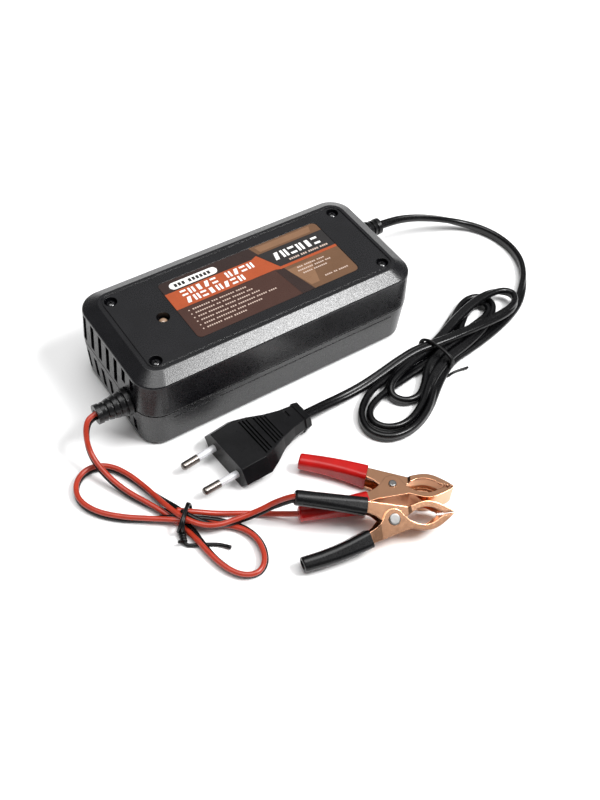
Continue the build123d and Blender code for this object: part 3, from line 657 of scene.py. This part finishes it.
def bar(x0, x1, y, height, slant=0.0):
    return [(x0, y), (x1, y), (x1 + slant, y + height), (x0 + slant, y + height)]


def words(x, y, height, lengths, pitch, gap=0.3):
    """Blocks that stand for a line of small print: one block a letter, with a space between words."""
    out = []
    for length in lengths:
        for _ in range(length):
            out.append(bar(x, x + pitch * (1 - gap), y, height))
            x += pitch
        x += pitch * 0.7
    return out


def figures(x, y, height, marks, pitch, stroke):
    """Row of plain marks that stand for large print.

    A mark is two posts, two bars, an upright block, a slanted block or a gap.
    """
    out = []
    width = pitch * 0.74
    for mark in marks:
        right, top = x + width, y + height
        if mark == "posts":
            out += [bar(x, x + stroke, y, height), bar(right - stroke, right, y, height)]
        elif mark == "bars":
            out += [bar(x, right, y, stroke), bar(x, right, top - stroke, stroke)]
        elif mark == "block":
            out += [bar(x + stroke / 2, right - stroke / 2, y, height)]
        elif mark == "slant":
            out += [bar(x, right - stroke, y, height, stroke)]
        x += pitch
    return out


PILL = {"x0": 7.0, "x1": 29.0, "y": 36.4, "radius": 2.4}
# The list: each row's word lengths, then the height of the first row and the step down to the next.
PRINT_ROWS = (
    (8, 3, 7, 5), (9, 2, 4, 6, 3), (4, 7, 5, 6, 4), (6, 6, 3, 8, 5, 4), (5, 9, 4, 7), (7, 4, 6),
)
FIRST_ROW, ROW_STEP = 17.6, 2.75
# Other lines of small print: x, y, height, word lengths and pitch.
SIDE_PRINT = (
    (67.0, 16.2, 0.9, (3, 6, 4), 1.15), (66.0, 13.8, 0.9, (8, 5, 3), 1.15),
    (67.5, 11.4, 0.9, (5, 7), 1.15), (76.0, 4.4, 0.9, (4, 2, 5), 1.15),
    (67.0, 23.2, 1.2, (5, 3, 5, 4), 1.25),
)
TITLE_UPPER = ("bars", "posts", "block", "slant", "bars", "gap", "posts", "slant", "bars", "posts")
TITLE_LOWER = ("slant", "posts", "bars", "block", "posts", "slant", "bars", "posts")
HEADING = ("slant", "posts", "bars", "posts", "block", "bars")


def make_fields(mats):
    """The label's coloured areas, from its lowest layer up."""
    upper_left = [(0.0, 33.0), (53.3, 33.0), (51.0, 41.0)] + rounded(-1, 1)
    printed("label_field_upper", [upper_left], 1, mats["label_dark"])
    printed("label_tan", [
        [(55.0, 34.6), (94.0, 34.6)] + rounded(1, 1) + [(53.0, 41.0)],
        [(66.0, 0.0)] + rounded(1, -1) + [(94.0, 19.9), (60.5, 19.9)],
    ], 1, mats["label_tan"])
    printed("label_dark", [
        [(45.0, 41.0), (52.0, 33.4), (55.4, 33.4), (53.0, 41.0)],
        [(59.0, 0.0), (66.6, 0.0), (61.0, 19.9), (56.4, 19.9)],
    ], 2, mats["label_dark"])
    printed("label_wedge", [
        [(61.4, 17.8), (66.6, 3.0), (71.4, 3.0), (76.0, 17.8)],
        [(57.0, 35.8), (88.0, 35.8), (89.6, 39.8), (56.0, 39.8)],
    ], 2, mats["label_light"])
    printed("label_band", [[
        (0.0, 21.0), (56.5, 21.0), (59.4, 19.9), (94.0, 19.9), (94.0, 21.6), (60.0, 21.6), (53.4, 34.4),
        (50.0, 33.0), (0.0, 33.0),
    ]], 3, mats["label_orange"])
    printed("label_charcoal", [
        [(60.0, 21.6), (94.0, 21.6), (94.0, 34.4), (54.4, 34.4)],
    ], 3, mats["label_grey"])


def make_print(mats):
    """Abstract marks in the places of the label's print."""
    pill = arc(PILL["x1"], PILL["y"], PILL["radius"], -90, 90)
    pill += arc(PILL["x0"], PILL["y"], PILL["radius"], 90, 270)
    printed("label_pill", [pill], 3, mats["label_white"])
    printed("label_pill_print", words(7.2, 35.2, 2.3, (3, 6), 2.15), 4, mats["label_grey"])
    titles = figures(7.4, 27.9, 3.9, TITLE_UPPER, 4.25, 1.15)
    titles += figures(7.4, 22.6, 3.9, TITLE_LOWER, 4.25, 1.15)
    printed("label_title", titles, 4, mats["label_white"])
    lines = []
    for row, lengths in enumerate(PRINT_ROWS):
        y = FIRST_ROW - ROW_STEP * row
        lines += [bar(4.6, 5.3, y + 0.15, 0.7)] + words(7.0, y, 0.85, lengths, 1.22, 0.36)
    for line in SIDE_PRINT:
        lines += words(*line)
    printed("label_small_print", lines, 4, mats["label_faint"])
    printed("label_heading", figures(60.8, 26.4, 5.2, HEADING, 4.8, 1.35), 4, mats["label_white"])


# --- materials of the pieces ------------------------------------------------------------------

def make_materials():
    return {
        "shell": spark_plastic("spark_textured_abs", (0.002, 0.002, 0.003), 0.27, 0.000035, 1700, 0.52,
                               0.00025),
        "gland": spark_plastic("moulded_pvc", (0.0015, 0.0015, 0.002), 0.30, 0.00002, 1700, 0.4),
        "plug": spark_plastic("plug_pvc", (0.0012, 0.0012, 0.0017), 0.34, 0.000022, 1500, 0.22),
        "cable": smooth_plastic("cable_pvc", (0.0012, 0.0012, 0.0016), 0.24, shine=0.32),
        "red_wire": smooth_plastic("red_pvc_wire", (0.36, 0.028, 0.010), 0.3),
        "black_wire": smooth_plastic("black_pvc_wire", (0.0012, 0.0012, 0.0014), 0.28, shine=0.3),
        "tie": smooth_plastic("tie_pvc", (0.0012, 0.0012, 0.0014), 0.3, shine=0.3),
        "screw": smooth_plastic("black_screw_lacquer", (0.004, 0.004, 0.005), 0.1, 0.4),
        "led": clear_resin("amber_epoxy", (0.55, 0.36, 0.24)),
        "nylon": smooth_plastic("natural_nylon", (0.78, 0.78, 0.75), 0.35),
        "sleeve": smooth_plastic("white_sleeve_nylon", (0.60, 0.60, 0.62), 0.25, 0.3),
        "nickel": metal("nickel_plate", (0.20, 0.18, 0.165), 0.30),
        "copper": metal("copper_plated_steel", (0.74, 0.40, 0.24), 0.17, tarnish=0.05, depth=0.0000002),
        "rivet": metal("rivet_nickel", (0.27, 0.265, 0.26), 0.3),
        "spring": metal("spring_wire", (0.32, 0.31, 0.30), 0.35),
        "red_grip": smooth_plastic("red_dip_pvc", (0.38, 0.003, 0.002), 0.3, wave=24, depth=0.00006,
                                   shine=0.35),
        "black_grip": smooth_plastic("black_dip_pvc", (0.0012, 0.0012, 0.0016), 0.28, wave=24,
                                     depth=0.00006, shine=0.35),
        "aluminium": metal("bare_aluminium", (0.8, 0.8, 0.81), 0.35, streak=1.0),
        "ferrite": spark_plastic("ferrite", (0.05, 0.05, 0.052), 0.6, 0.00003),
        "tape": smooth_plastic("polyester_tape", (0.75, 0.55, 0.06), 0.3),
        "can_sleeve": smooth_plastic("capacitor_sleeve", (0.02, 0.03, 0.08), 0.3),
        "epoxy": spark_plastic("chip_epoxy", (0.02, 0.02, 0.022), 0.5, 0.00002),
        "enamel": metal("enamelled_copper", (0.6, 0.25, 0.1), 0.3),
        "film": smooth_plastic("film_capacitor_box", (0.7, 0.5, 0.08), 0.35),
        "fuse": smooth_plastic("fuse_glass", (0.7, 0.72, 0.7), 0.1, 0.8),
        "terminal": smooth_plastic("terminal_green", (0.05, 0.3, 0.1), 0.35),
        "board": laminate("board_laminate"),
        "film_label": smooth_plastic("label_brown", (0.046, 0.017, 0.011), 0.3, mottle=0.05),
        "label_dark": smooth_plastic("label_dark_brown", (0.022, 0.010, 0.008), 0.3, mottle=0.05),
        "label_orange": smooth_plastic("label_orange", (0.34, 0.062, 0.016), 0.3, mottle=0.05),
        "label_tan": smooth_plastic("label_tan", (0.125, 0.062, 0.030), 0.3, mottle=0.05),
        "label_light": smooth_plastic("label_light_tan", (0.20, 0.105, 0.055), 0.3, mottle=0.05),
        "label_grey": smooth_plastic("label_charcoal", (0.016, 0.014, 0.014), 0.3, mottle=0.05),
        "label_faint": smooth_plastic("label_small_ink", (0.50, 0.38, 0.32), 0.35, mottle=0.03),
        "label_white": smooth_plastic("label_white_ink", (0.80, 0.79, 0.77), 0.35, mottle=0.03),
    }


NODE_MATERIALS = {
    "shell": ("upper_shell", "lower_shell"),
    "gland": ("dc_gland", "ac_gland"),
    "plug": ("plug_body",),
    "screw": ("housing_screws",),
    "led": ("status_led",),
    "nylon": ("led_standoff",),
    "sleeve": ("pin_sleeves",),
    "nickel": ("plug_pins",),
    "aluminium": ("heat_sink_mains", "heat_sink_output"),
    "ferrite": ("transformer_core",),
    "tape": ("transformer_coil",),
    "can_sleeve": ("mains_capacitor", "output_capacitors"),
    "epoxy": ("power_switches", "control_chips"),
    "enamel": ("common_mode_choke",),
    "film": ("suppression_capacitor",),
    "fuse": ("mains_fuse",),
    "terminal": ("mains_terminal", "output_terminal"),
    "board": ("circuit_board",),
    "film_label": ("label_sticker",),
}
CLIP_MATERIALS = {"upper_jaw": "copper", "lower_jaw": "copper", "rivet": "rivet", "spring": "spring",
                  "spring_arm": "spring", "upper_grip": "{}_grip", "lower_grip": "{}_grip"}


def dress_nodes(mats):
    """Every carried node gets its material."""
    for mat, names in NODE_MATERIALS.items():
        for node in names:
            dress(node, mats[mat])
    for color in ("red", "black"):
        for part, mat in CLIP_MATERIALS.items():
            dress(f"{color}_clip_{part}", mats[mat.format(color)])


make_camera()
make_floor()
make_light()
MATS = make_materials()
dress_nodes(MATS)
make_mains_cord(MATS)
make_twin_lead(MATS)
make_red_tail(MATS)
make_tie("mains_cord_tie", MAINS_TIE, "ac_tie", MATS)
make_tie("output_lead_tie", OUTPUT_TIE, "dc_tie", MATS)
make_fields(MATS)
make_print(MATS)
